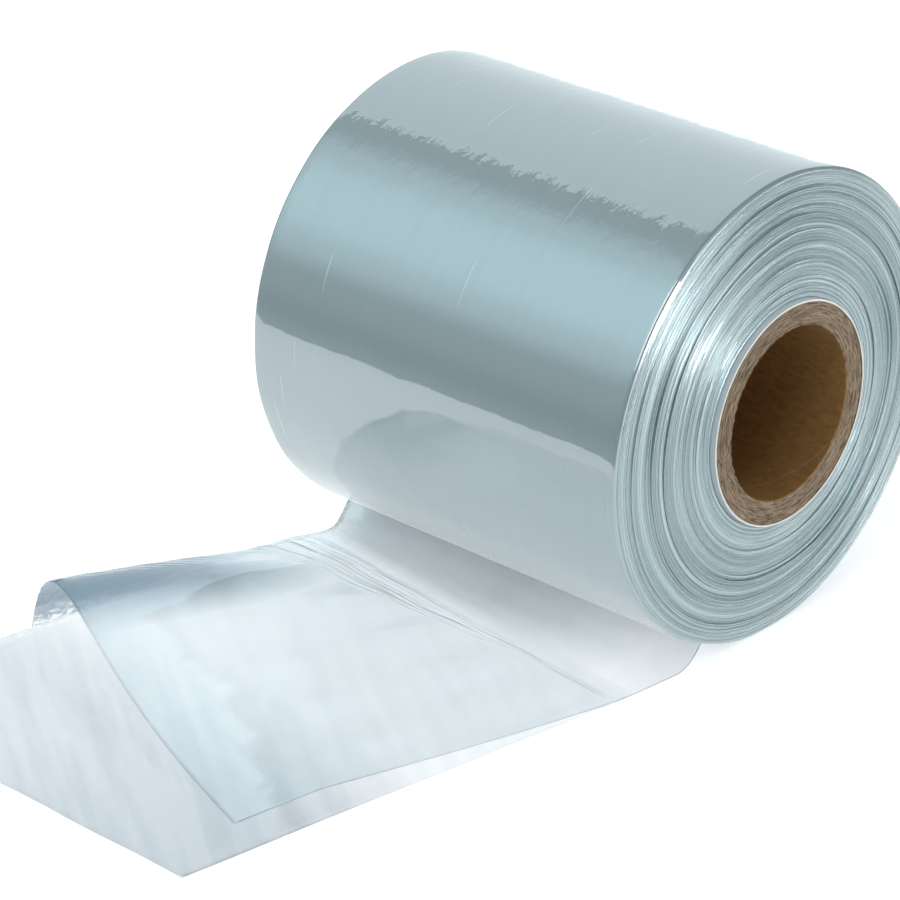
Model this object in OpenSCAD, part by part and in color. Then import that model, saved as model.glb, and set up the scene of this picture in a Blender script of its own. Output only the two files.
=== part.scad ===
// Roll of centrefolded shrink film on a paper core, lying on its side with the start of the web paid out.
// Millimetres. The origin is the middle of the core, on its axis. +Y runs along the axis towards the
// folded edge of the web, +Z is up, and the web is paid out towards -X.

/* [Film roll] */
// Width of the folded web, and so of every turn
web_w = 203.2; // [150:0.1:300]
// Outside diameter of the wound film
roll_d = 207.6; // [160:0.1:260]
// Groups of turns that show as rings on the end faces
ring_count = 24; // [8:1:32]
// How far the outermost turns have slipped along the core, past the innermost ones
slip = 4.5; // [0:0.1:8]
// Largest step from one group of turns to the next
ring_step = 0.7; // [0:0.05:1.2]
// Rounding of the roll's outer edges
shoulder_r = 1.5; // [0.5:0.1:4]
// How far the roll has settled under its own weight
flat_sag = 0.6; // [0.2:0.05:1.5]

/* [Paper core] */
// Bore of the core, a standard three inches
core_bore_d = 76.2; // [60:0.1:90]
// Wall of the core
core_wall = 11; // [5:0.1:14]
// Length of the core
core_l = 208; // [150:0.1:310]
// How far the core stands out of the innermost turns at its near end
core_proud = 2.7; // [0.5:0.1:6]
// Thickness of the white outer ply of the core
liner_t = 0.9; // [0.4:0.1:2]
// How far the brown plies are cut back behind the white one
ply_step = 0.35; // [0.1:0.05:1]
// Rounding of the bore's edges
bore_edge = 0.8; // [0.2:0.1:2]
// Clearance between the core and the first turn
winding_clearance = 0.1; // [0.05:0.01:0.25]

/* [Paid out web] */
// Reach of the lower ply, from the roll's axis to its cut end
tail_l = 307; // [280:1:420]
// Thickness of one ply of the web
web_t = 0.4; // [0.25:0.05:0.8]
// Space between the two plies where they lie on each other
ply_gap = 0.1; // [0.05:0.05:0.4]
// Angle between the paid out web and the roll
skew = 8.9; // [0:0.1:12]
// Distance from the roll's axis where the web peels off the roll
peel_u = 44; // [36:0.5:50]
// Distance from the roll's axis where the web reaches the table
land_u = 58; // [52:0.5:66]
// How far the folded edge is drawn in where the web comes down
neck = 5; // [0:0.5:8]
// Distance of the crease from the roll's axis, at the folded edge
crease_far = 76; // [60:1:90]
// Distance of the crease from the roll's axis, at the open edges
crease_near = 91.5; // [60:0.5:100]
// Cut end of the upper ply at the folded edge, from the roll's axis
mouth_far = 212; // [170:1:270]
// Cut end of the upper ply at its open edge, from the roll's axis
mouth_near = 266; // [170:1:275]
// Height of the upper ply's arch at its mouth
arch_h = 34; // [10:1:45]
// Place of the arch's crest across the web, as a share of the width from the fold
crest_at = 0.17; // [0.12:0.01:0.4]
// How much steeper the arch rises at the crease than on the whole way to its mouth
arch_start = 1.3; // [1:0.05:1.8]
// How far the edge is pulled in by the arch, as a factor of its height squared over the width
arch_take_up = 3.5; // [0:0.1:5]
// Height of the puckers that fan out from the crease
pucker_h = 1.3; // [0:0.1:3]
// Number of puckers across the web
pucker_count = 6; // [2:1:8]

/* [Hidden] */
$fn = 144;

core_r = core_bore_d / 2 + core_wall;
first_r = core_r + winding_clearance;
roll_r = roll_d / 2;
build_up = roll_r - first_r;
ring_w = build_up / ring_count;

// The innermost turns sit behind the core's near rim, and the outermost have slipped the other way.
inner_y = web_w / 2 - core_l / 2 + core_proud;
outer_y = inner_y + slip;

// The roll stands on the flat that its own weight has pressed, level with the underside of the web.
seat_z = -(roll_r - flat_sag);

function clamp01(t) = max(0, min(1, t));
function ease(t) = let (c = clamp01(t)) c * c * (3 - 2 * c);

// The turns slip further the nearer they are to the outside.
slip_curve = 1.5;

// Rings: how far along the core a group of turns lies, at its inner edge and at its outer edge.
scatter_turn = 47;
inner_seed = 113;
outer_seed = 71;
function scatter(i, seed) = sin(i * i * scatter_turn + i * seed) / 2;
function ring_y(f) = inner_y + slip * pow(f, slip_curve);
function ring_in(i) = ring_y(i / ring_count) + ring_step * scatter(i, inner_seed);
function ring_out(i) = ring_y((i + 1) / ring_count) + ring_step * scatter(i, outer_seed);

// The groups of turns across the build-up, at the y of the edge that side gives: -1 near, 1 far.
// The last one is level, and ends where the shoulder starts.
function ring_edge(side) = [
    for (i = [0 : ring_count - 2]) each [
        [first_r + ring_w * i, side * web_w / 2 + ring_in(i)],
        [first_r + ring_w * (i + 1), side * web_w / 2 + ring_out(i)],
    ],
    [roll_r - ring_w, side * web_w / 2 + outer_y],
];
function shoulder(side) = [
    for (a = [0 : 30 : 90])
        [roll_r - shoulder_r * (1 - sin(a)), side * (web_w / 2 - shoulder_r * (1 - cos(a))) + outer_y],
];
function reversed(list) = [for (i = [len(list) - 1 : -1 : 0]) list[i]];

// The paid out web. u is the distance from the roll's axis, and s runs across the web:
// 0 to 1 over the lower ply to the fold, 1 to 2 round the fold, and 2 to 3 back over the upper ply.
fold_r = (web_t + ply_gap) / 2;
lie_z = seat_z + web_t / 2;

// The web clings to the roll as far as peel_u and comes down to the table in a hollow curve.
peel_h = roll_r - sqrt(roll_r * roll_r - peel_u * peel_u) - flat_sag;
function come_down(u) = max(land_u - u, 0) / (land_u - peel_u);
function slope_h(u) = peel_h * pow(come_down(u), 2);
function slope(u) = -2 * peel_h * come_down(u) / (land_u - peel_u);

// The web leaves the roll square and turns to its skew by the crease. Its fold is drawn in most just
// beyond the place where it reaches the table.
neck_beyond = 4;
neck_spread = 12;
function neck_in(u) = neck * exp(-pow((u - land_u - neck_beyond) / neck_spread, 2));
function turned(u) = u < crease_near ? u * u / (2 * crease_near) : u - crease_near / 2;
function skewed_w(u) = web_w / cos(skew * clamp01(u / crease_near));
function web_w_at(u) = skewed_w(u) - neck_in(u);
function fold_y(u) = outer_y + tan(skew) * turned(u) + skewed_w(u) / 2 - neck_in(u);

// The arch rises from the crease to its full height at the mouth, and its edge is pulled in as it rises.
function crease_u(q) = crease_far + (crease_near - crease_far) * q;
function open_at(u, q) = clamp01((u - crease_u(q)) / (mouth_far - crease_far));
function rise(t) = t * (arch_start - (arch_start - 1) * t);
function bump(x) = x * exp(1 - x);
function arch(q) = bump(q / crest_at) - q * bump(1 / crest_at);
function take_up(u) = arch_take_up * pow(arch_h * rise(open_at(u, 0.5)), 2) / web_w;

// The puckers are deepest a third of the way to the mouth, and start clear of the fold.
fan_peak = 27 / 4;
pucker_start = 8;
function fan(t) = fan_peak * t * (1 - t) * (1 - t);
function pucker(q, t) = pucker_h * ease(q * pucker_start) * fan(t) * (1 + sin(360 * pucker_count * q)) / 2;
function lift(u, q) = let (t = open_at(u, q)) arch_h * rise(t) * arch(q) + pucker(q, t);

// A point of the web at y, so far off the lower ply's middle, square to its slope.
function off_table(u, y, off) =
    let (m = norm([1, slope(u)]))
    [-u + off * slope(u) / m, y, lie_z + slope_h(u) + off / m];
function spine_y(u) = fold_y(u) - fold_r - web_t / 2;
function lower_ply(u, v) = off_table(u, spine_y(u) - (1 - v) * (web_w_at(u) - fold_r), 0);
function fold_turn(u, a) = off_table(u, spine_y(u) + fold_r * sin(a), fold_r * (1 - cos(a)));
function upper_ply(u, q) =
    off_table(u, spine_y(u) - q * (web_w_at(u) - fold_r - take_up(u)), 2 * fold_r) + [0, 0, lift(u, q)];
function web(u, s) = s < 1 ? lower_ply(u, s) : s < 2 ? fold_turn(u, 180 * (s - 1)) : upper_ply(u, s - 2);
function web_normal(u, s) =
    let (
        d = 0.02,
        along = web(u + d, s) - web(u - d, s),
        across = web(u, min(s + d, 3)) - web(u, max(s - d, 0)),
        n = cross(across, along)
    ) n / norm(n);

// Rows follow the crease, and end on the cut of whichever ply they are in. They start a little inside
// the roll, and lie closer together where the web comes down.
root_in = 1.5;
root_u = peel_u - root_in;
flat_rows = 8;
row_crowding = 1.3;
open_rows = 16;
lower_steps = 4;
fold_steps = 4;
upper_steps = 26;
stations = [
    for (i = [0 : lower_steps - 1]) i / lower_steps,
    for (i = [0 : fold_steps - 1]) 1 + i / fold_steps,
    for (i = [0 : upper_steps]) 2 + i / upper_steps,
];
function across_fold(s) = s < 1 ? 1 - s : s < 2 ? 0 : s - 2;
function web_end(s) =
    s <= 1 ? tail_l
    : s < 2 ? tail_l + (mouth_far - tail_l) * (s - 1)
    : mouth_far + (mouth_near - mouth_far) * (s - 2);
function row_u(i, s) =
    let (c = crease_u(across_fold(s)))
    i <= flat_rows ? root_u + (c - root_u) * pow(i / flat_rows, row_crowding)
    : c + (web_end(s) - c) * (i - flat_rows) / open_rows;

// A thick sheet between two grids of points, one web_t outside the other, closed round its rim.
module thick_sheet(rows, columns, outer, inner) {
    count = rows * columns;
    function at(i, j) = i * columns + j;
    skins = [
        for (i = [0 : rows - 2], j = [0 : columns - 2]) each [
            [at(i, j), at(i + 1, j + 1), at(i, j + 1)],
            [at(i, j), at(i + 1, j), at(i + 1, j + 1)],
            [count + at(i, j), count + at(i, j + 1), count + at(i + 1, j + 1)],
            [count + at(i, j), count + at(i + 1, j + 1), count + at(i + 1, j)],
        ],
    ];
    rim = concat(
        [for (j = [0 : columns - 1]) at(0, j)],
        [for (i = [1 : rows - 1]) at(i, columns - 1)],
        [for (j = [columns - 2 : -1 : 0]) at(rows - 1, j)],
        [for (i = [rows - 2 : -1 : 1]) at(i, 0)]
    );
    edges = [
        for (k = [0 : len(rim) - 1])
            let (a = rim[k], b = rim[(k + 1) % len(rim)]) each [[a, b, count + a], [b, count + b, count + a]],
    ];
    polyhedron(points = concat(outer, inner), faces = concat(skins, edges), convexity = 6);
}

module paid_out_web() {
    rows = flat_rows + open_rows + 1;
    columns = len(stations);
    places = [for (i = [0 : rows - 1], s = stations) [row_u(i, s), s]];
    thick_sheet(
        rows, columns,
        [for (p = places) web(p[0], p[1]) + web_normal(p[0], p[1]) * web_t / 2],
        [for (p = places) web(p[0], p[1]) - web_normal(p[0], p[1]) * web_t / 2]
    );
}

module wound_turns() {
    difference() {
        rotate([-90, 0, 0])
            rotate_extrude()
                polygon(concat(
                    ring_edge(-1), shoulder(-1), reversed(shoulder(1)), reversed(ring_edge(1))
                ));
        translate([-roll_r, -web_w, seat_z - roll_r])
            cube([roll_d, web_w * 2, roll_r]);
    }
}

// Half of the core's section: the white ply stands a little proud of the brown ones at each end.
function core_edge(side) = [
    [core_bore_d / 2, side * (core_l / 2 - ply_step - bore_edge)],
    [core_bore_d / 2 + bore_edge, side * (core_l / 2 - ply_step)],
    [core_r - liner_t, side * (core_l / 2 - ply_step)],
    [core_r - liner_t, side * core_l / 2],
    [core_r, side * core_l / 2],
];

module core() {
    color("#8f8579")
        rotate([-90, 0, 0])
            rotate_extrude()
                polygon(concat(core_edge(-1), reversed(core_edge(1))));
}

module film() {
    color("#a3b7bd")
        union() {
            wound_turns();
            paid_out_web();
        }
}

core();
film();
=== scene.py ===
import math

import bpy
import numpy as np
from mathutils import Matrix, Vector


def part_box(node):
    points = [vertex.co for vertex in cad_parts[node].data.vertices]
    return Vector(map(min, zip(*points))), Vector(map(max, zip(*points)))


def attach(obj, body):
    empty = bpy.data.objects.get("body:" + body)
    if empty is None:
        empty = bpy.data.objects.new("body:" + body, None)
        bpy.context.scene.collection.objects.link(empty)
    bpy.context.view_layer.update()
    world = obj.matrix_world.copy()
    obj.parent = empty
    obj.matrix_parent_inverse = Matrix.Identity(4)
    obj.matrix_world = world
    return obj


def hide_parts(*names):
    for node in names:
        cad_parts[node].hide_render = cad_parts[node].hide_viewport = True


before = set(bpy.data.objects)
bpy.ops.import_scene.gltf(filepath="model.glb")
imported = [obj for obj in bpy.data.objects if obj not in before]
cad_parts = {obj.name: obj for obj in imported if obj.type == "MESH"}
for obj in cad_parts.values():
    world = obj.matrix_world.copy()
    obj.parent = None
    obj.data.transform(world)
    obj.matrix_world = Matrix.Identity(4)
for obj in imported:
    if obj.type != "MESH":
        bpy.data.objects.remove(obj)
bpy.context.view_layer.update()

# Roll of centrefolded shrink film on a paper core. Metres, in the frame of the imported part:
# +Y along the core towards the fold of the web, +Z up, the web paid out towards -X.

filmLow, filmHigh = [np.array(corner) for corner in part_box("film")]
coreHigh = np.array(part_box("core")[1])
mm = 0.001
floorZ = filmLow[2]
webReach = -filmLow[0]
rollRadius = filmHigh[2]
coreRadius = coreHigh[2]
coreHalf = coreHigh[1]
print("frame loaded, floor at", round(floorZ, 4))


# Helpers for shapes

def ease(t):  # 0 to 1 with level ends: 3 t squared less 2 t cubed
    t = np.clip(t, 0, 1)
    return t * t * (3 - 2 * t)


def ripple(seed, x, low, high, count):  # sum of sines of whole-number pitch, about -1 to 1
    rng = np.random.default_rng(seed)
    pitch = rng.integers(low, high + 1, count)
    phase = rng.uniform(0, 2 * math.pi, count)
    size = rng.uniform(0.4, 1, count)
    total = sum(s * np.sin(p * x + f) for s, p, f in zip(size, pitch, phase))
    return total / np.sqrt((size ** 2).sum())


def gridFaces(rows, columns, closeRows=False, closeColumns=False):
    # quads between neighbouring points of a grid, with the last row or column joined to the first
    i = np.arange(rows if closeRows else rows - 1)
    j = np.arange(columns if closeColumns else columns - 1)
    i, j = np.meshgrid(i, j, indexing="ij")
    k, l = (i + 1) % rows, (j + 1) % columns
    corners = [i * columns + j, k * columns + j, k * columns + l, i * columns + l]
    return np.stack(corners, axis=-1).reshape(-1, 4)


def makeMesh(name, points, faces, values=None, sharp=None):
    mesh = bpy.data.meshes.new(name)
    mesh.from_pydata(np.asarray(points, float).reshape(-1, 3).tolist(), [], faces.tolist())
    for key, numbers in (values or {}).items():
        layer = mesh.attributes.new(key, "FLOAT", "POINT")
        layer.data.foreach_set("value", np.asarray(numbers, np.float32).ravel())
    mesh.shade_smooth()
    if sharp:
        mesh.set_sharp_from_angle(angle=math.radians(sharp))
    mesh.validate()
    piece = bpy.data.objects.new(name, mesh)
    bpy.context.scene.collection.objects.link(piece)
    return piece


# Helpers for materials. A value is a number, a colour or another node's output.

def newMaterial(name):
    m = bpy.data.materials.new(name)
    m.use_nodes = True
    return m, m.node_tree, m.node_tree.nodes["Principled BSDF"].inputs


def add(tree, kind, **settings):
    n = tree.nodes.new("ShaderNode" + kind)
    for key, value in settings.items():
        if key[0].isupper():
            n.inputs[key].default_value = value
        else:
            setattr(n, key, value)
    return n


def feed(tree, socket, value):
    if hasattr(value, "links"):
        tree.links.new(value, socket)
    else:
        socket.default_value = (*value, 1) if isinstance(value, tuple) else value


def maths(tree, kind, *values):
    n = add(tree, "Math", operation=kind)
    for socket, value in zip(n.inputs, values):
        feed(tree, socket, value)
    return n.outputs[0]


def times(tree, a, b):
    return maths(tree, "MULTIPLY", a, b)


def largest(tree, a, b):
    return maths(tree, "MAXIMUM", a, b)


def ramp(tree, source, stops, smooth="LINEAR"):
    n = add(tree, "ValToRGB")
    n.color_ramp.interpolation = smooth
    while len(n.color_ramp.elements) < len(stops):
        n.color_ramp.elements.new(0.5)
    for element, (at, colour) in zip(n.color_ramp.elements, stops):
        element.position = at
        element.color = (*colour, 1) if isinstance(colour, tuple) else (colour, colour, colour, 1)
    tree.links.new(source, n.inputs["Fac"])
    return n.outputs["Color"]


def mixColour(tree, share, a, b, kind="MIX"):
    n = add(tree, "Mix", data_type="RGBA", blend_type=kind)
    for socket, value in zip((n.inputs[0], n.inputs[6], n.inputs[7]), (share, a, b)):
        feed(tree, socket, value)
    return n.outputs[2]


def mixValue(tree, share, a, b):
    n = add(tree, "Mix")
    for socket, value in zip((n.inputs[0], n.inputs[2], n.inputs[3]), (share, a, b)):
        feed(tree, socket, value)
    return n.outputs[0]


def attribute(tree, name):
    return add(tree, "Attribute", attribute_name=name).outputs["Fac"]


def stretched(tree, scale=(1, 1, 1), turn=0):  # object coordinates turned about Z and scaled along each axis
    place = add(tree, "TexCoord")
    move = add(tree, "Mapping", vector_type="TEXTURE", Rotation=(0, 0, math.radians(turn)),
               Scale=tuple(1 / k for k in scale))
    tree.links.new(place.outputs["Object"], move.inputs["Vector"])
    return move.outputs["Vector"]


def apart(tree, vector):
    n = add(tree, "SeparateXYZ")
    tree.links.new(vector, n.inputs[0])
    return n.outputs


def together(tree, *values):
    n = add(tree, "CombineXYZ")
    for socket, value in zip(n.inputs, values):
        feed(tree, socket, value)
    return n.outputs[0]


def noise(tree, vector, detail=2.0, rough=0.5):
    n = add(tree, "TexNoise", Scale=1.0, Detail=detail, Roughness=rough)
    tree.links.new(vector, n.inputs["Vector"])
    return n.outputs["Fac"]


def bump(tree, height, distance, strength=1.0, below=None):
    n = add(tree, "Bump", Distance=distance, Strength=strength)
    tree.links.new(height, n.inputs["Height"])
    if below is not None:
        tree.links.new(below, n.inputs["Normal"])
    return n.outputs["Normal"]


# Wound turns

turns = {
    "webWidth": 203.2 * mm,
    "firstRadius": coreRadius + 0.1 * mm,
    "innerShift": 0.3 * mm,
    "slip": 4.5 * mm,  # how far the outermost turns have slid along the roll
    "shoulder": 1.5 * mm,
    "groups": 30,
    "groupStep": 0.30 * mm,
    "groupTilt": 0.52 * mm,
    "dip": 0.05 * mm,  # each group is a little hollow or crowned
    "aroundSteps": 340,
    "alongSteps": 40,
    "kinkAngles": (88, 252, 288, 148, 20),  # degrees, where the turns bend a little
    "kinkDepth": (1.5, 1.3, 1.0, 0.5, 0.4),
    "kinkSpread": 34,  # degrees
    "wander": 0.35 * mm,  # slow waviness of the rings
    "sway": 0.35,  # how much the relief changes round the roll
    "bandDepth": 0.022 * mm,
    "facetDepth": 0.16 * mm,
    "seed": 11,
}

woundLook = {
    "sideDark": (0.188, 0.262, 0.287),
    "sideLight": (0.212, 0.296, 0.322),
    "scratch": (0.48, 0.60, 0.63),
    "endDark": (0.222, 0.302, 0.320),
    "endMiddle": (0.288, 0.382, 0.402),
    "endLight": (0.368, 0.468, 0.492),
    # painted highlight at the outer edge of the ends
    "paintedRimHighlight": (0.46, 0.57, 0.60),
    "gap": (0.45, 0.50, 0.52),  # the ends' colour is taken down to this share between single turns
    "fineTurns": 150,  # lines of single turns between the core and the outside
    "grooves": 31,
    "grooveDepth": 0.6 * mm,
    "waveDepth": 0.4 * mm,
}


def ringRelief(s):
    # The turns lie in groups of uneven width. Each group stands a little in or out of the end face and
    # leans a little, and four points a group hold its section: share of the build-up, step, tone.
    rng = np.random.default_rng(s["seed"])
    widths = rng.uniform(0.35, 1.6, s["groups"])
    edges = np.concatenate([[0], np.cumsum(widths)]) / widths.sum()
    step = rng.normal(0, 1, s["groups"]) * s["groupStep"]
    lean = rng.normal(0, 1, s["groups"]) * s["groupTilt"] * widths / 2
    tone = rng.uniform(0, 1, s["groups"])
    tone[-3:] = 0.8  # the outermost turns are light
    fading = np.array([0.7, 0.5, 0.35, 0.2, 0])
    step[-5:] *= fading
    lean[-5:] *= fading
    at = np.array([0.03, 0.3, 0.65, 0.97])
    share = edges[:-1, None] + np.diff(edges)[:, None] * at
    depth = step[:, None] + lean[:, None] * (at - 0.5)
    depth[:, 1] -= s["dip"] * rng.uniform(-1, 1, s["groups"])
    return share.ravel(), depth.ravel(), np.repeat(tone, len(at))


def woundTurns(s):
    # Closed surface of revolution with a profile that runs up the near end, along the roll, down the far
    # end and back through the bore. Radius = share of the build-up + kinks; y = end + slip + relief.
    buildUp = rollRadius - s["firstRadius"]
    half = s["webWidth"] / 2
    outerShift = s["innerShift"] + s["slip"]
    share, depth, tone = ringRelief(s)
    share = share * (1 - s["shoulder"] / buildUp * 1.1)
    angle = np.linspace(-math.pi / 2, 1.5 * math.pi, s["aroundSteps"], endpoint=False)

    kink = np.zeros((len(share), len(angle)))
    for degrees, millimetres in zip(s["kinkAngles"], s["kinkDepth"]):
        away = np.abs((np.degrees(angle) - degrees + 180) % 360 - 180)
        shape = np.maximum(0, 1 - away / s["kinkSpread"]) * millimetres * mm
        kink += np.sin(math.pi * share ** 1.3)[:, None] * shape
    kink += s["wander"] * np.sin(math.pi * share)[:, None] * ripple(s["seed"] + 1, angle, 2, 7, 5)
    radius = s["firstRadius"] + buildUp * share[:, None] + kink
    sway = 1 + s["sway"] * ripple(s["seed"] + 2, angle, 1, 5, 4)
    lie = s["innerShift"] + s["slip"] * share[:, None] ** 1.5 + depth[:, None] * sway

    bend = np.radians(np.linspace(8, 90, 5))
    level = np.ones((1, len(angle)))
    bendR = (rollRadius - s["shoulder"] * (1 - np.sin(bend)))[:, None] * level
    bendY = (half - s["shoulder"] * (1 - np.cos(bend)))[:, None] * level
    along = np.linspace(-1, 1, s["alongSteps"] + 2)[1:-1] * (half - s["shoulder"])
    sideR = rollRadius * level * np.ones((len(along), 1))
    sideY = along[:, None] * level + outerShift

    rows = [  # radius, y, share of the build-up and tone
        (radius, -half + lie, share, tone),
        (bendR, -bendY + outerShift, 0 * bend + 1, 0 * bend + 0.5),
        (sideR, sideY, 0 * along + 1, 0 * along + 0.5),
        (bendR[::-1], bendY[::-1] + outerShift, 0 * bend + 1, 0 * bend + 0.5),
        (radius[::-1], half + lie[::-1], share[::-1], tone[::-1]),
    ]
    r = np.concatenate([row[0] for row in rows])
    y = np.concatenate([row[1] for row in rows])
    turnShare = np.concatenate([row[2] for row in rows])[:, None] * level
    toneAll = np.concatenate([row[3] for row in rows])[:, None] * level

    # Wound film isn't quite round: shallow facets that differ from band to band, and fine gauge bands.
    band = np.linspace(0, 1, 19)
    rng = np.random.default_rng(s["seed"] + 3)
    place = (y - y.min()) / (y.max() - y.min())
    phase = np.interp(place, band, rng.uniform(-0.5, 0.5, len(band)))
    facet = ripple(s["seed"] + 4, angle[None, :] + 0.10 * phase, 9, 17, 6) * s["facetDepth"]
    gauge = ripple(s["seed"] + 5, place * 2 * math.pi, 8, 34, 14) * s["bandDepth"]
    r = r + (facet + gauge - 2.2 * s["facetDepth"]) * (turnShare > 0.999)

    x, z = r * np.cos(angle), r * np.sin(angle)
    z = np.maximum(z, floorZ)  # the flat that the roll stands on
    points = np.stack([x, y, z], axis=-1)
    faces = gridFaces(len(r), len(angle), closeRows=True, closeColumns=True)
    return makeMesh("woundTurns", points, faces, {"turn": turnShare, "tone": toneAll}, sharp=50)


def woundFilmMaterial(look):
    m, tree, shader = newMaterial("woundFilm")
    turn = attribute(tree, "turn")
    onSide = maths(tree, "GREATER_THAN", turn, 0.999)

    # Streaks and a few scratches run round the roll on its side, and single turns show on its ends.
    streaks = noise(tree, stretched(tree, (7, 420, 7)), 4, 0.62)
    scratches = noise(tree, stretched(tree, (15, 900, 15)), 1, 0.4)
    scratches = ramp(tree, scratches, [(0.765, 0.0), (0.80, 1.0)])
    slow = apart(tree, stretched(tree, (5, 5, 5)))
    fineTurns = noise(tree, together(tree, times(tree, turn, look["fineTurns"]), slow[0], slow[2]), 2, 0.6)

    side = ramp(tree, streaks, [(0.3, look["sideDark"]), (0.7, look["sideLight"])])
    side = mixColour(tree, times(tree, scratches, 0.7), side, look["scratch"])
    ends = ramp(tree, attribute(tree, "tone"), [
        (0.0, look["endDark"]), (0.55, look["endMiddle"]), (1.0, look["endLight"]),
    ])
    lines = ramp(tree, fineTurns, [(0.33, look["gap"]), (0.44, 1.0), (0.72, 1.25)])
    ends = mixColour(tree, 1.0, ends, lines, "MULTIPLY")
    # The outer edge of the ends is painted lighter: a painted highlight on the shoulder.
    paintedRimHighlightShare = ramp(tree, turn, [(0.955, 0.0), (0.985, 0.75)])
    ends = mixColour(tree, paintedRimHighlightShare, ends, look["paintedRimHighlight"])
    feed(tree, shader["Base Color"], mixColour(tree, onSide, ends, side))

    sideRough = maths(tree, "MULTIPLY_ADD", streaks, 0.16, 0.26)
    endRough = maths(tree, "MULTIPLY_ADD", fineTurns, 0.22, 0.17)
    feed(tree, shader["Roughness"], mixValue(tree, onSide, endRough, sideRough))
    feed(tree, shader["Metallic"], ramp(tree, streaks, [(0.32, 0.29), (0.68, 0.67)]))
    feed(tree, shader["Coat Weight"], mixValue(tree, onSide, 0.30, 1.0))
    shader["Coat Roughness"].default_value = 0.035
    shader["Coat IOR"].default_value = 2.7
    shader["IOR"].default_value = 1.55

    # Groups of turns make grooves on the ends, steeper on the side that faces the core.
    groove = maths(tree, "MULTIPLY_ADD", turn, 2 * math.pi * look["grooves"], times(tree, fineTurns, 9.0))
    steeper = maths(tree, "SINE", times(tree, groove, 2.0))
    groove = maths(tree, "MULTIPLY_ADD", steeper, 0.3, maths(tree, "SINE", groove))
    groove = maths(tree, "MULTIPLY_ADD", groove, 0.40, fineTurns)
    height = mixValue(tree, onSide, groove, times(tree, streaks, 0.12))
    feed(tree, shader["Normal"], bump(tree, height, look["grooveDepth"], 0.9))

    # The coat is the outermost turn: its waves are coarser towards the top of the roll.
    wave = noise(tree, stretched(tree, (75, 150, 75)), 3, 0.6)
    up = apart(tree, stretched(tree, (1, 1, 1 / rollRadius)))[2]
    loose = ramp(tree, up, [(0.0, 0.12), (0.55, 0.30), (0.85, 1.0), (0.97, 0.45)])
    feed(tree, shader["Coat Normal"], bump(tree, times(tree, wave, loose), look["waveDepth"]))
    return m


# Paid out web

web = {
    "skew": 8.9,  # degrees between the web and the roll
    "peel": 44 * mm,
    "land": 58 * mm,
    "hollow": 5 * mm,  # the hollow curve by the roll is this much longer than it is wide
    "neck": 5 * mm,
    "neckBeyond": 4 * mm,
    "neckSpread": 12 * mm,
    "creaseFar": 67 * mm,
    "creaseNear": 91.5 * mm,
    "mouthFar": 212 * mm,
    "mouthNear": 266 * mm,
    "archHeight": 34 * mm,
    "crestAt": 0.17,
    "takeUp": 3.5,  # how much width the arch takes from the upper ply
    "puckerHeight": 1.3 * mm,
    "puckers": 6,
    "drapeHeight": 0.5 * mm,
    "swellHeight": 0.22 * mm,
    "ridgeSpread": 44 * mm,  # the fine ridges beyond the crease fan out this far at the fold
    "ridgeBundle": 4 * mm,  # and run on in a bundle this wide
    "ridgesMeet": 0.72,  # from this share of the width
    "ridgeSlope": 0.016,
    "sheet": 0.05 * mm,
    "plyGap": 0.12 * mm,
    "lie": 0.10 * mm,  # the web's height over the table
    "foldSteps": 6,
    "rows": 180,
    "lowerColumns": 60,
    "upperColumns": 150,
    "seed": 5,
}

webLook = {
    "lowerPly": (0.17, 0.25, 0.32),
    # the upper ply is painted lighter than the lower: painted reflection
    "upperPlyPaintedReflection": (0.52, 0.70, 0.80),
    # painted dark reflection on the arch
    "arch": (0.115, 0.195, 0.26),
    "cutEdge": (0.20, 0.27, 0.31),
    # painted shade and painted highlights in the crinkled fold
    "paintedCrinkleShade": (0.40, 0.46, 0.50),
    "paintedCrinkleHighlight": (0.88, 0.90, 0.91),
    # painted shade and painted highlights in the fine wrinkles
    "paintedWrinkleShade": (0.15, 0.20, 0.23),
    "paintedWrinkleHighlight": (0.93, 0.95, 0.96),
    # painted shade on the web before the crease
    "beforeCrease": (0.05, 0.07, 0.08),
    # painted shade on the web by the roll
    "byRoll": (0.13, 0.26, 0.31),
    "faintInRoll": 0.70,  # the roll mirrors the web this much fainter than it is seen
    "waveDepth": 1.2 * mm,
    "crumpleDepth": 1.6 * mm,
}


def ridgeReach(over, w):  # how far the ridges spread from the crease, less and less away from the fold
    narrowing = np.maximum(0, 1 - over / w["ridgesMeet"])
    return w["ridgeBundle"] + (w["ridgeSpread"] - w["ridgeBundle"]) * narrowing


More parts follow.
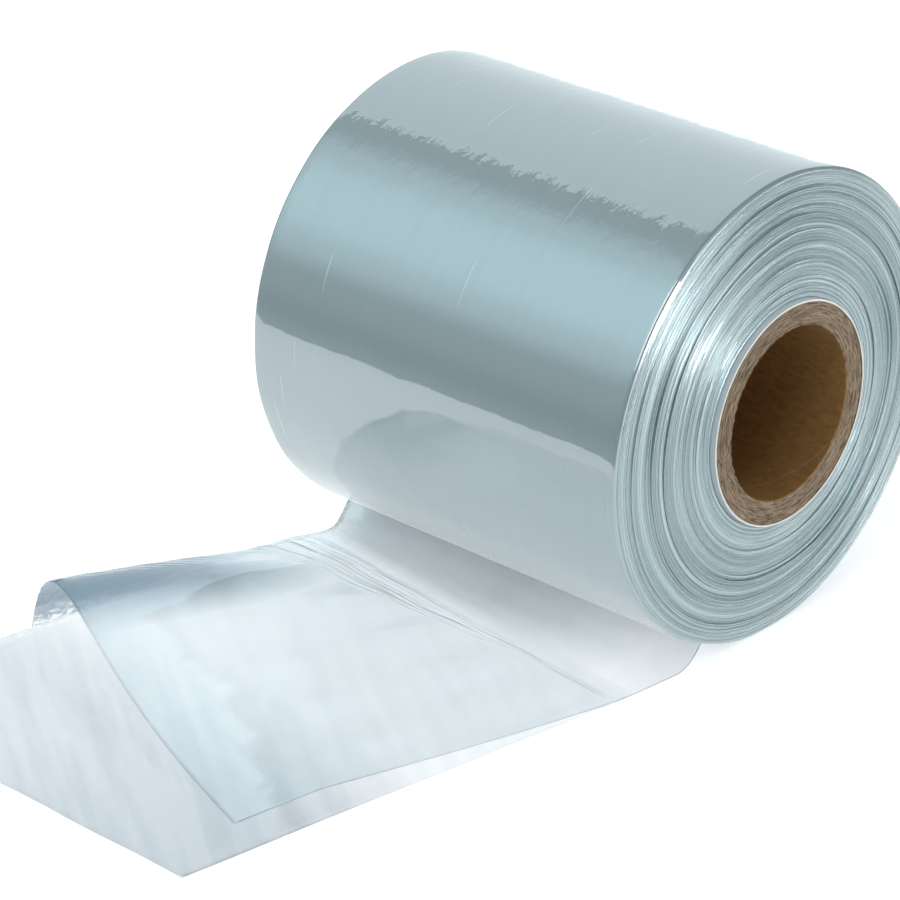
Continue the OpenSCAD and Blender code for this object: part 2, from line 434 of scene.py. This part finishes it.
def webSurface(u, s, w, roll):
    # The paid out web. u is the distance from the axis, and s runs 0 to 1 over the lower ply to the
    # fold, 1 to 2 round the fold and 2 to 3 back over the upper ply, which arches up beyond the crease.
    skewNow = np.radians(w["skew"]) * np.clip(u / w["creaseNear"], 0, 1)
    skewed = roll["webWidth"] / np.cos(skewNow)
    turned = np.where(u < w["creaseNear"], u ** 2 / (2 * w["creaseNear"]), u - w["creaseNear"] / 2)
    neck = w["neck"] * np.exp(-((u - w["land"] - w["neckBeyond"]) / w["neckSpread"]) ** 2)
    width = skewed - neck
    foldY = roll["innerShift"] + roll["slip"] + math.tan(math.radians(w["skew"])) * turned + skewed / 2 - neck
    foldRadius = (w["sheet"] + w["plyGap"]) / 2

    # It clings to the roll and comes down in a hollow curve: height = peel height x share squared.
    peelHeight = -floorZ - math.sqrt(rollRadius ** 2 - w["peel"] ** 2)
    share = np.maximum(w["land"] - u, 0) / (w["land"] - w["peel"])
    slope = -2 * peelHeight * share / (w["land"] - w["peel"])
    steep = np.sqrt(1 + slope ** 2)

    # Beyond the crease the upper ply rises towards its mouth, and the arch takes width from it.
    over = np.clip(s - 2, 0, 1)
    across = np.where(s < 2, np.clip(1 - s, 0, 1), over)
    crease = w["creaseFar"] + (w["creaseNear"] - w["creaseFar"]) * across
    opening = np.clip((u - crease) / (w["mouthFar"] - w["creaseFar"]), 0, 1)
    rise = opening * (1.3 - 0.3 * opening)
    middle = (w["creaseFar"] + w["creaseNear"]) / 2
    middleOpening = np.clip((u - middle) / (w["mouthFar"] - w["creaseFar"]), 0, 1)
    middleHeight = w["archHeight"] * middleOpening * (1.3 - 0.3 * middleOpening)
    lost = w["takeUp"] * middleHeight ** 2 / roll["webWidth"]

    # Across the web the arch is steep at the fold and runs out level: crest share x e to (1 - crest share).
    crest = over / w["crestAt"]
    last = 1 / w["crestAt"]
    arch = crest * np.exp(1 - crest) - over * last * math.exp(1 - last)
    fan = 6.75 * opening * (1 - opening) ** 2
    pucker = w["puckerHeight"] * ease(over * 8) * fan * (1 + np.sin(2 * math.pi * w["puckers"] * over)) / 2
    lift = w["archHeight"] * rise * arch + pucker

    # Fine ridges run along the crease and fan out towards the fold, and more run down the arch there.
    ridgeWidth = ridgeReach(over, w)
    ridgeAt = (u - crease) / ridgeWidth
    ridges = ripple(w["seed"], ridgeAt * 2 * math.pi + 0.5 * np.sin(7 * over), 3, 9, 8)
    within = ease(ridgeAt * 6) * ease((1.15 - ridgeAt) * 2.2) * ease(over * 14) * ease((1 - over) * 16)
    ridges = w["ridgeSlope"] * ridgeWidth * (1.2 + ridges) * within
    drape = ripple(w["seed"] + 1, u * 2 * math.pi / 0.2 + 9 * over, 16, 38, 10)
    besideFold = np.exp(-((over - 0.07) / 0.055) ** 2) * ease((opening - 0.25) * 2.2)
    lift = lift + ridges + w["drapeHeight"] * besideFold * (1 + drape)
    ridgeMask = within * (s >= 2)

    # The lower ply lies on the table with a few long shallow swells.
    swell = ripple(w["seed"] + 2, 9 * u + 1.2 * np.minimum(s, 1) * math.pi, 1, 6, 5)
    swell = w["swellHeight"] * (1 + np.clip(swell, -1, 1)) * ease((u - 0.06) / 0.03) * ease((1 - s) * 6)

    around = math.pi * np.clip(s - 1, 0, 1)
    yLower = foldY - foldRadius - (1 - np.minimum(s, 1)) * (width - foldRadius)
    yUpper = foldY - foldRadius - over * (width - foldRadius - lost)
    y = np.where(s < 2, yLower + foldRadius * np.sin(around), yUpper)
    off = foldRadius * (1 - np.cos(around))
    x = off * slope / steep - u
    z = floorZ + w["lie"] + peelHeight * share ** 2 + off / steep + np.where(s < 1, swell, lift * (s >= 2))
    return np.stack([x, y, z], axis=-1), crease, ridgeAt, ridgeMask


def paidOutWeb(w, roll):
    # Grid of the web's surface: columns over the lower ply, round the fold and over the upper ply, rows
    # from the roll to the cut ends, close together between the crease and the end of the ridges.
    s = np.concatenate([
        np.linspace(0, 1, w["lowerColumns"], endpoint=False),
        np.linspace(1, 2, w["foldSteps"], endpoint=False),
        2 + np.linspace(0, 1, w["upperColumns"]) ** 1.25,
    ])[None, :]
    row = np.linspace(0, 1, w["rows"])[:, None]
    over = np.where(s < 2, np.clip(1 - s, 0, 1), s - 2)
    crease = w["creaseFar"] + (w["creaseNear"] - w["creaseFar"]) * over
    cutAtFold = webReach + (w["mouthFar"] - webReach) * (s - 1)
    cutAbove = w["mouthFar"] + (w["mouthNear"] - w["mouthFar"]) * (s - 2)
    cut = np.where(s <= 1, webReach, np.where(s < 2, cutAtFold, cutAbove))
    root = w["peel"] - 1.5 * mm
    ridgeEnd = crease + 1.2 * ridgeReach(over, w)
    flat, fine = 0.16, 0.58  # shares of the rows up to the crease and up to the end of the ridges
    beforeCrease = root + (crease - root) * row / flat
    onRidges = crease + (ridgeEnd - crease) * (row - flat) / (fine - flat)
    beyond = ridgeEnd + (cut - ridgeEnd) * (row - fine) / (1 - fine)
    u = np.where(row <= flat, beforeCrease, np.where(row <= fine, onRidges, beyond))

    points, creaseU, ridgeAt, ridgeMask = webSurface(u, s + 0 * u, w, roll)
    toEdge = np.minimum(cut - u, np.where(s < 1, s, 3 - s) * roll["webWidth"])
    toFold = np.where(s < 1, 1 - s, np.where(s < 2, 0, s - 2)) * roll["webWidth"]
    piece = makeMesh("paidOutWeb", points, gridFaces(*u.shape), {
        "toEdge": toEdge,
        "toFold": toFold + 0 * u,
        "fromCrease": u - creaseU,
        "layer": (s >= 1.5) + 0 * u,
        "ridgeAt": ridgeAt,
        "ridgeMask": ridgeMask,
    })
    thick = piece.modifiers.new("thickness", "SOLIDIFY")
    thick.thickness = w["sheet"]
    thick.offset = 0
    return piece


def webFilmMaterial(look):
    m, tree, shader = newMaterial("webFilm")
    toEdge = attribute(tree, "toEdge")
    toFold = attribute(tree, "toFold")
    fromCrease = attribute(tree, "fromCrease")
    layer = attribute(tree, "layer")
    ridgeMask = attribute(tree, "ridgeMask")

    # Where on the web a point lies: by its cut edges, by the fold, on the arch, before the crease.
    edge = ramp(tree, times(tree, toEdge, 1000), [(0.0, 1.0), (0.55, 0.6), (0.9, 0.0)])
    foldBand = ramp(tree, times(tree, toFold, 100), [(0.0, 1.0), (0.25, 0.5), (0.6, 0.0)])
    nearFold = ramp(tree, times(tree, toFold, 13), [(0.0, 1.0), (0.6, 0.85), (1.0, 0.0)])
    nearMouth = ramp(tree, times(tree, fromCrease, 12), [(0.0, 0.0), (1.0, 1.0)])
    onArch = times(tree, times(tree, nearFold, nearMouth), layer)
    acrossWeb = times(tree, toFold, 5)
    toRoll = times(tree, fromCrease, -25)
    byRoll = ramp(tree, toRoll, [(0.35, 0.0), (0.9, 1.0)])
    byRoll = times(tree, byRoll, ramp(tree, acrossWeb, [(0.0, 1.0), (0.9, 0.2)]))
    beforeCrease = ramp(tree, toRoll, [(0.0, 0.0), (0.25, 1.0)])
    nearEdge = times(tree, beforeCrease, ramp(tree, acrossWeb, [(0.5, 0.0), (0.9, 1.0)]))

    # The fold is crinkled, and fine wrinkles lie between the ridges beside the crease. Both are coloured dark
    # and bright, as painted shade and painted highlights.
    crumple = noise(tree, stretched(tree, (260, 420, 420)), 3, 0.7)
    crinkled = times(tree, foldBand, ramp(tree, crumple, [(0.36, 1.0), (0.46, 0.4), (0.56, 1.0)]))
    wrinkles = together(tree, times(tree, attribute(tree, "ridgeAt"), 13), times(tree, toFold, 9))
    wrinkles = noise(tree, wrinkles, 3, 0.6)
    # The wrinkles' dark and bright lines are painted shade and painted highlights.
    paintedShadeLine = times(tree, ramp(tree, wrinkles, [(0.38, 1.0), (0.46, 0.0)]), ridgeMask)
    paintedHighlightLine = times(tree, ramp(tree, wrinkles, [(0.58, 0.0), (0.66, 1.0)]), ridgeMask)

    # The upper ply is painted lighter than the lower ply of the same film: painted reflection.
    colour = mixColour(tree, layer, look["lowerPly"], look["upperPlyPaintedReflection"])
    # The arch is painted darker: a painted dark reflection.
    colour = mixColour(tree, onArch, colour, look["arch"])
    colour = mixColour(tree, edge, colour, look["cutEdge"])
    # Painted shade and painted highlights in the crinkled fold.
    paintedCrinkle = ramp(tree, crumple, [(0.40, look["paintedCrinkleShade"]), (0.50, look["paintedCrinkleHighlight"])])
    colour = mixColour(tree, crinkled, colour, paintedCrinkle)
    colour = mixColour(tree, paintedShadeLine, colour, look["paintedWrinkleShade"])
    colour = mixColour(tree, paintedHighlightLine, colour, look["paintedWrinkleHighlight"])
    # Painted shade darkens the web before the crease.
    colour = mixColour(tree, times(tree, beforeCrease, 0.34), colour, look["beforeCrease"])
    # Painted shade, bluer and darker, on the web by the roll.
    feed(tree, shader["Base Color"], mixColour(tree, byRoll, colour, look["byRoll"]))
    shader["Metallic"].default_value = 0.40
    shader["Roughness"].default_value = 0.07
    shader["IOR"].default_value = 2.0

    # How opaque each ply is: more where it is seen at a slant, on the arch and by the roll. Faint ribs
    # slant across the lower ply beyond the mouth.
    facing = add(tree, "LayerWeight", Blend=0.32).outputs["Facing"]
    lower = ramp(tree, facing, [(0.0, 0.36), (0.45, 0.40), (0.75, 0.45), (1.0, 0.52)])
    beyond = ramp(tree, times(tree, fromCrease, 4.5), [(0.0, 0.24), (0.45, 0.40), (0.75, 1.14)])
    lower = times(tree, lower, beyond)
    lower = times(tree, lower, ramp(tree, acrossWeb, [(0.40, 0.74), (0.95, 0.98)]))
    ribs = noise(tree, stretched(tree, (9, 95, 9), 57), 2, 0.5)
    lower = times(tree, lower, ramp(tree, ribs, [(0.40, 0.95), (0.62, 1.11)]))
    upper = ramp(tree, facing, [(0.0, 0.13), (0.43, 0.18), (0.60, 0.42), (0.85, 0.60), (1.0, 0.68)])
    upper = largest(tree, upper, times(tree, onArch, 0.80))
    wave = noise(tree, stretched(tree, (14, 30, 30)), 3, 0.6)
    opacity = maths(tree, "ADD", mixValue(tree, layer, lower, upper), times(tree, wave, 0.035))
    towardsCrease = maths(tree, "MULTIPLY_ADD", fromCrease, 25, 1.0)
    thinner = ramp(tree, towardsCrease, [(0.0, 1.0), (0.5, 0.95), (0.95, 0.75), (1.0, 0.9)])
    opacity = times(tree, opacity, thinner)
    opacity = maths(tree, "MULTIPLY_ADD", beforeCrease, 0.07, opacity)
    opacity = times(tree, opacity, ramp(tree, nearEdge, [(0.0, 1.0), (1.0, 0.4)]))
    opacity = largest(tree, opacity, times(tree, edge, 0.26))
    opacity = largest(tree, opacity, times(tree, paintedShadeLine, 0.50))
    opacity = largest(tree, opacity, times(tree, paintedHighlightLine, 0.50))
    opacity = maths(tree, "ADD", opacity, times(tree, byRoll, 0.045))
    opacity = largest(tree, opacity, times(tree, crinkled, 0.5))
    fainter = times(tree, add(tree, "LightPath").outputs["Is Glossy Ray"], look["faintInRoll"])
    feed(tree, shader["Alpha"], times(tree, opacity, maths(tree, "SUBTRACT", 1.0, fainter)))

    gentle = noise(tree, stretched(tree, (20, 60, 40)), 2, 0.5)
    normal = bump(tree, gentle, look["waveDepth"], 0.5)
    creaseBand = maths(tree, "ABSOLUTE", times(tree, fromCrease, 40))
    creaseBand = ramp(tree, creaseBand, [(0.0, 1.0), (0.45, 0.3), (1.0, 0.0)])
    height = times(tree, crumple, largest(tree, foldBand, creaseBand))
    feed(tree, shader["Normal"], bump(tree, height, look["crumpleDepth"], below=normal))
    return m


# Paper core

tube = {
    "bore": 38.1 * mm,
    "wall": 11 * mm,
    "liner": 0.9 * mm,  # the white outer ply
    "plyStep": 0.35 * mm,
    "boreEdge": 0.8 * mm,
    "plies": 13,
    "ragged": 0.11 * mm,
    "fray": 0.17 * mm,
    "around": 320,
    "along": 40,
    "seed": 3,
}

paperLook = {
    "kraftDark": (0.235, 0.122, 0.036),
    "kraftLight": (0.410, 0.235, 0.082),
    "blotch": (0.205, 0.105, 0.030),
    "seam": (0.42, 0.28, 0.14),
    "seamPitch": 100 * mm,
    "seamStart": 0.133,
    "glueLine": (0.030, 0.020, 0.012),
    "cutDark": (0.160, 0.116, 0.076),
    "cutLight": (0.350, 0.272, 0.200),
    "cutGrain": (0.25, 0.185, 0.125),
    "linerInside": (0.60, 0.58, 0.54),
    "linerCut": (0.86, 0.86, 0.85),
    "linerEdge": (0.84, 0.85, 0.85),
    # painted grey-blue shade on the outside of the white liner
    "linerOutsidePaintedShade": (0.44, 0.52, 0.55),
}


def coreTube(t):
    # Closed ring section carried round: bore, near rim of plies, outside and far rim. The plies stand
    # unevenly at the rims, and the bore's edge is frayed.
    rng = np.random.default_rng(t["seed"])
    angle = np.linspace(0, 2 * math.pi, t["around"], endpoint=False)[None, :]
    level = 0 * angle
    rimY = coreHalf - t["plyStep"]
    brown = t["bore"] + t["wall"] - t["liner"]
    plies = np.linspace(t["bore"] + t["boreEdge"], brown, t["plies"] + 1)
    inner, outer = plies[:-1], plies[1:]
    rimR = np.stack([inner + 0.04 * mm, (inner + outer) / 2, outer - 0.04 * mm], axis=1)
    rimR = rimR.ravel()[:, None] + level
    rimShape = np.tile([-0.16, 0.02, -0.12], t["plies"]) * mm
    rimShape += np.repeat(rng.uniform(-0.12, 0.1, t["plies"]), 3) * mm

    def rim(seed):
        ragged = np.stack([ripple(seed + k, angle[0], 20, 90, 14) for k in range(t["plies"])])
        return rimY + rimShape[:, None] + np.repeat(ragged, 3, axis=0) * t["ragged"]

    edge = np.radians([10, 35, 60, 85])
    fray = t["fray"] * ripple(t["seed"] + 9, angle, 30, 90, 14)
    edgeR = t["bore"] + t["boreEdge"] * (1 - np.cos(edge))[:, None] + fray
    edgeY = rimY - t["boreEdge"] * (1 - np.sin(edge))[:, None] + level
    linerR = np.array([brown + 0.03 * mm, brown + 0.1 * mm, coreRadius - 0.1 * mm, coreRadius])
    linerR = linerR[:, None] + level
    linerY = coreHalf - np.array([0.12, 0.02, 0.0, 0.12])[:, None] * mm + level

    lengthwise = np.linspace(1, -1, t["along"])[:, None] * (coreHalf - 1.5 * mm) + level
    boreR = t["bore"] + 0.12 * mm * (1 + ripple(t["seed"] + 7, angle + lengthwise * 20, 2, 9, 6)) / 2

    near = [(edgeR, -edgeY), (rimR, -rim(20)), (linerR, -linerY)]
    far = [(linerR[::-1], linerY[::-1]), (rimR[::-1], rim(50)[::-1]), (edgeR[::-1], edgeY[::-1])]
    rows = near + far + [(boreR, lengthwise)]
    r = np.concatenate([row[0] for row in rows])
    y = np.clip(np.concatenate([row[1] for row in rows]), -coreHalf, coreHalf)
    points = np.stack([r * np.cos(angle), y, r * np.sin(angle)], axis=-1)
    depth = (r - t["bore"]) / t["wall"]
    faces = gridFaces(len(r), t["around"], closeRows=True, closeColumns=True)
    return makeMesh("coreTube", points, faces, {"depth": depth}, sharp=55)


def paperMaterial(look):
    m, tree, shader = newMaterial("corePaper")
    depth = attribute(tree, "depth")
    fibre = noise(tree, stretched(tree, (500, 160, 500)), 4, 0.7)
    blotch = noise(tree, stretched(tree, (40, 30, 40)), 3, 0.6)
    grain = noise(tree, stretched(tree, (1900, 1900, 1900)), 2, 0.6)
    around = apart(tree, stretched(tree, (150, 150, 150)))
    plies = noise(tree, together(tree, times(tree, depth, 22), around[0], around[2]), 4, 0.7)

    kraft = ramp(tree, fibre, [(0.30, look["kraftDark"]), (0.72, look["kraftLight"])])
    kraft = mixColour(tree, times(tree, blotch, 0.45), kraft, look["blotch"])
    # The paper strip's seam winds along the bore: distance = pitch x part left over of y / pitch + turns.
    x, y, z = apart(tree, stretched(tree))
    turned = maths(tree, "ARCTAN2", z, x)
    turned = maths(tree, "MULTIPLY_ADD", turned, 0.5 / math.pi, maths(tree, "DIVIDE", y, look["seamPitch"]))
    winding = maths(tree, "FRACT", maths(tree, "ADD", turned, look["seamStart"] + 0.5))
    offSeam = maths(tree, "ABSOLUTE", maths(tree, "SUBTRACT", winding, 0.5))
    seam = ramp(tree, times(tree, offSeam, 200), [(0.0, 1.0), (0.5, 0.7), (1.0, 0.0)])
    kraft = mixColour(tree, times(tree, seam, 0.7), kraft, look["seam"])

    # The rims show the cut plies, and the outer one is white.
    cutPaper = ramp(tree, plies, [
        (0.38, look["glueLine"]), (0.48, look["cutDark"]), (0.68, look["cutLight"]),
    ])
    cutPaper = mixColour(tree, times(tree, grain, 0.30), cutPaper, look["cutGrain"])
    onRim = maths(tree, "GREATER_THAN", depth, 0.02)
    onLiner = maths(tree, "GREATER_THAN", depth, 0.93)
    # The white liner's outside is painted grey-blue shade.
    liner = ramp(tree, depth, [
        (0.97, look["linerInside"]), (0.985, look["linerCut"]), (0.993, look["linerEdge"]),
        (1.0, look["linerOutsidePaintedShade"]),
    ])
    colour = mixColour(tree, onRim, kraft, cutPaper)
    feed(tree, shader["Base Color"], mixColour(tree, onLiner, colour, liner))
    shader["Roughness"].default_value = 0.82
    shader["Specular IOR Level"].default_value = 0.25
    normal = bump(tree, grain, 0.3 * mm, 0.5)
    feed(tree, shader["Normal"], bump(tree, plies, 0.8 * mm, 0.6, below=normal))
    return m


# Studio

view = {
    "place": (-1.19075, -1.00945, 0.70915),
    "turn": -47.357,  # degrees about Z, 0 looks along +Y
    "tilt": 25.98,  # degrees below the horizon
    "focalPixels": 4000,
    "framePixels": 900,
    "sensor": 36,
}

light = {
    "ambient": (0.37, 0.375, 0.38),
    "lowAmbient": (0.46, 0.53, 0.555),
    "glowColour": (1.12, 1.42, 1.50),
    "glowFrom": (-0.52, 0.59, 0.615),  # soft sky glow that lies along the middle of the roll's side
    "keyPlace": (-1.5, -0.3, 1.5),
    "keySize": (1.5, 1.5),
    "keyPower": 15,
    "backPlace": (0.65, 0.85, 0.45),  # leaning panel behind the roll, down to the table
    "backTarget": (0, 0.85, -0.2),
    "backSize": (1.5, 1.6),
    "backPower": 5.6,
    "backColour": (0.88, 1.0, 1.05),
    "endPlace": (0.30, -1.45, 0.035),  # low panel in front of the roll's near end
    "endTarget": (0, 0, 0.035),
    "endSize": (0.36, 0.26),
    "endPower": 14.5,
}

tableLook = {
    "low": (-0.41, -1.7),  # the roll's side mirrors the table's edge
    "high": (2.2, 2.4),
    "colour": (0.93, 0.935, 0.94),
    "lighter": (0.936, 0.941, 0.946),
    "glow": 0.48,  # share of white that the camera and reflections see besides the lit table
}


def tableMaterial(look):
    m, tree, shader = newMaterial("paleTable")
    speck = noise(tree, stretched(tree, (3, 3, 3)), 2, 0.5)
    feed(tree, shader["Base Color"], ramp(tree, speck, [(0.3, look["colour"]), (0.7, look["lighter"])]))
    shader["Roughness"].default_value = 0.9
    shader["Specular IOR Level"].default_value = 0.0
    path = add(tree, "LightPath").outputs
    seen = largest(tree, path["Is Camera Ray"], path["Is Glossy Ray"])
    seen = largest(tree, seen, path["Is Transmission Ray"])
    shader["Emission Color"].default_value = (1, 1, 1, 1)
    feed(tree, shader["Emission Strength"], times(tree, seen, look["glow"]))
    return m


def makeTable(s):
    (lowX, lowY), (highX, highY) = s["low"], s["high"]
    corners = [(lowX, lowY, floorZ), (highX, lowY, floorZ), (highX, highY, floorZ), (lowX, highY, floorZ)]
    table = makeMesh("table", corners, np.arange(4)[None, :])
    table.data.materials.append(tableMaterial(s))


def areaLight(name, place, size, power, target=(0, 0, 0), colour=(1, 1, 1)):
    data = bpy.data.lights.new(name, "AREA")
    data.shape = "RECTANGLE"
    data.size, data.size_y = size
    data.energy = power
    data.color = colour
    lamp = bpy.data.objects.new(name, data)
    lamp.visible_camera = False
    bpy.context.scene.collection.objects.link(lamp)
    lamp.location = place
    awayX, awayY, awayZ = np.array(place) - np.array(target)
    lamp.rotation_euler = (math.atan2(math.hypot(awayX, awayY), awayZ), 0, math.atan2(awayX, -awayY))


def makeCamera(v):
    data = bpy.data.cameras.new("camera")
    data.sensor_width = v["sensor"]
    data.lens = v["focalPixels"] / v["framePixels"] * v["sensor"]
    camera = bpy.data.objects.new("camera", data)
    bpy.context.scene.collection.objects.link(camera)
    camera.location = v["place"]
    camera.rotation_euler = (math.radians(90 - v["tilt"]), 0, math.radians(v["turn"]))
    bpy.context.scene.camera = camera


def makeWorld(s):
    # Even grey light, bluer from below, with one soft glow in the sky. The camera sees white.
    world = bpy.data.worlds.new("studio")
    world.use_nodes = True
    tree = world.node_tree
    direction = add(tree, "TexCoord").outputs["Generated"]
    towards = add(tree, "VectorMath", operation="DOT_PRODUCT")
    towards.inputs[1].default_value = np.array(s["glowFrom"]) / np.linalg.norm(s["glowFrom"])
    tree.links.new(direction, towards.inputs[0])
    stops = [(0.70, 0.0), (0.86, 0.22), (0.95, 0.70), (1.0, 1.0)]
    glow = ramp(tree, towards.outputs["Value"], stops, "EASE")
    height = maths(tree, "MULTIPLY_ADD", apart(tree, direction)[2], 2.0, 0.6)
    low = ramp(tree, height, [(0.0, 1.0), (1.0, 0.0)])
    colour = mixColour(tree, low, s["ambient"], s["lowAmbient"])
    colour = mixColour(tree, glow, colour, s["glowColour"])
    seen = add(tree, "LightPath").outputs["Is Camera Ray"]
    colour = mixColour(tree, seen, colour, (1.0, 1.0, 1.0))
    feed(tree, tree.nodes["Background"].inputs["Color"], colour)
    bpy.context.scene.world = world


bpy.context.scene.view_settings.view_transform = "Standard"
makeCamera(view)
makeWorld(light)
areaLight("keyLight", light["keyPlace"], light["keySize"], light["keyPower"])
areaLight("backLight", light["backPlace"], light["backSize"], light["backPower"], light["backTarget"],
          light["backColour"])
areaLight("endLight", light["endPlace"], light["endSize"], light["endPower"], light["endTarget"])
makeTable(tableLook)
print("studio ready")

filmWound = woundTurns(turns)
filmWound.data.materials.append(woundFilmMaterial(woundLook))
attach(filmWound, "root")
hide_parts("film")
print("wound turns made,", len(filmWound.data.polygons), "faces")

filmWeb = paidOutWeb(web, turns)
filmWeb.data.materials.append(webFilmMaterial(webLook))
filmWeb.visible_shadow = False  # clear film lets the light through to the table
filmWeb.visible_diffuse = False
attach(filmWeb, "root")
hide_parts("film")
print("paid out web made,", len(filmWeb.data.polygons), "faces")

core = coreTube(tube)
core.data.materials.append(paperMaterial(paperLook))
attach(core, "root")
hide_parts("core")
print("core made,", len(core.data.polygons), "faces")
